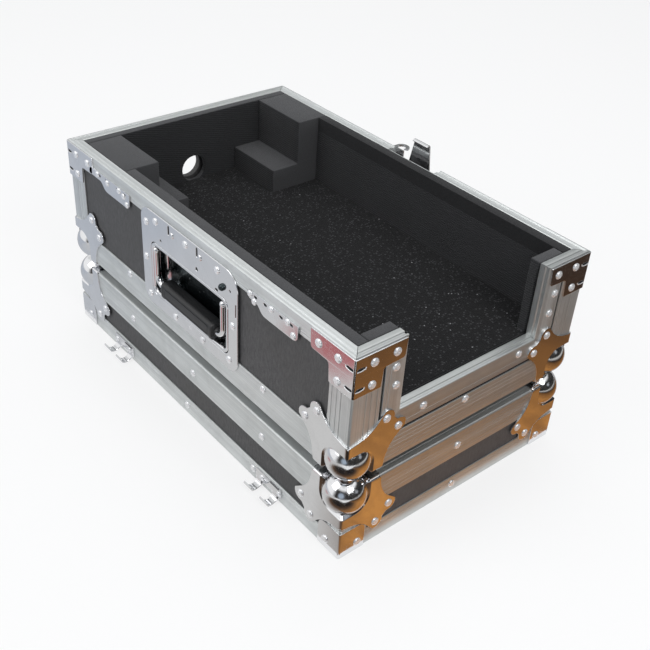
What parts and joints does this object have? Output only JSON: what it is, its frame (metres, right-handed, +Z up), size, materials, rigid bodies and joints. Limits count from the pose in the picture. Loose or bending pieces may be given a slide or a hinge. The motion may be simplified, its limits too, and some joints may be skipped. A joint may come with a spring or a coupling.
{
  "type": "flight case",
  "caption": "Small aluminium-edged flight case for a compact disc player: open foam-lined main box with a front cut-out, sprung side handle and twist latch, standing on its own lid.",
  "frame": {"origin": "on the floor under the middle of the case: the lid stands on its open edge at z = 0", "axes": "+X toward the latch side, -X toward the handle, +Y toward the rear wall with the cable hole, -Y toward the front cut-out, +Z up"},
  "size_m": [0.311, 0.472, 0.239],
  "materials": {
    "aluminium": "satin extruded, fine lengthwise ribs",
    "chrome": "bright plated pressed steel",
    "panel": "dark grey hard laminate, slight grain",
    "foam": "dark grey cut foam",
    "floor_mat": "black speckled foam mat",
    "grip": "satin black moulding",
    "spring_steel": "bare spring wire"
  },
  "bodies": {
    "case_lid": {"lid_top_board": "panel", "lid_left_board": "panel", "lid_right_board": "panel", "lid_front_board": "panel", "lid_rear_board": "panel", "lid_edge_trim": "aluminium", "lid_rim": "aluminium", "lid_foam_lining": "foam", "lid_front_left_ball_corner": "chrome", "lid_front_right_ball_corner": "chrome", "lid_rear_right_ball_corner": "chrome", "lid_rear_left_ball_corner": "chrome", "lid_front_left_brace": "chrome", "lid_front_right_brace": "chrome", "lid_rear_right_brace": "chrome", "lid_rear_left_brace": "chrome", "front_lid_hook": "chrome", "rear_lid_hook": "chrome", "lid_latch_catch": "chrome"},
    "main_box": {"box_floor_board": "panel", "box_left_board": "panel", "box_right_board": "panel", "box_rear_board": "panel", "box_front_board": "panel", "box_bottom_trim": "aluminium", "box_front_left_angle": "aluminium", "box_front_right_angle": "aluminium", "box_rear_right_angle": "aluminium", "box_rear_left_angle": "aluminium", "box_front_left_ball_corner": "chrome", "box_front_right_ball_corner": "chrome", "box_rear_right_ball_corner": "chrome", "box_rear_left_ball_corner": "chrome", "box_front_left_brace": "chrome", "box_front_right_brace": "chrome", "box_rear_right_brace": "chrome", "box_rear_left_brace": "chrome", "box_left_rim": "aluminium", "box_right_rim": "aluminium", "box_rear_rim": "aluminium", "box_front_rim": "aluminium", "left_foam_liner": "foam", "right_foam_liner": "foam", "front_foam_liner": "foam", "rear_foam_liner": "foam", "floor_foam": "floor_mat", "left_rear_foam_block": "foam", "right_rear_foam_block": "foam", "handle_dish": "chrome", "handle_front_spring": "spring_steel", "handle_rear_spring": "spring_steel", "front_keeper_plate": "chrome", "rear_keeper_plate": "chrome", "latch_dish": "chrome"},
    "carry_bail": {"handle_bail": "chrome", "handle_grip": "grip"},
    "latch_hook_slide": {"latch_hook": "chrome"},
    "latch_twist_spindle": {"latch_spindle": "chrome"},
    "latch_front_flap": {"latch_front_wing": "chrome"},
    "latch_rear_flap": {"latch_rear_wing": "chrome"}
  },
  "joints": [
    {"name": "box_lift", "type": "slide", "parent": "case_lid", "child": "main_box", "axis": [0, 0, 1], "range_m": [0, 0.25]},
    {"name": "handle_swing", "type": "hinge", "parent": "main_box", "child": "carry_bail", "pos_m": [-0.136, 0.005, 0.17], "axis": [0, 1, 0], "range_deg": [0, 90], "stiffness_Nm_per_rad": 0.05},
    {"name": "latch_twist", "type": "hinge", "parent": "main_box", "child": "latch_twist_spindle", "pos_m": [0.1395, -0.002, 0.15], "axis": [1, 0, 0], "range_deg": [0, 180]},
    {"name": "latch_hook_draw", "type": "slide", "parent": "main_box", "child": "latch_hook_slide", "axis": [0, 0, -1], "range_m": [0, 0.012]},
    {"name": "front_flap_fold", "type": "hinge", "parent": "latch_twist_spindle", "child": "latch_front_flap", "pos_m": [0.1398, -0.0038, 0.15], "axis": [0, 0, 1], "range_deg": [0, 90], "stiffness_Nm_per_rad": 0.02},
    {"name": "rear_flap_fold", "type": "hinge", "parent": "latch_twist_spindle", "child": "latch_rear_flap", "pos_m": [0.1398, -0.0002, 0.15], "axis": [0, 0, -1], "range_deg": [0, 90], "stiffness_Nm_per_rad": 0.02}
  ],
  "couplings": [
    {"joint": "latch_twist", "follows": "latch_hook_draw", "rad_per_m": 261.79}
  ]
}
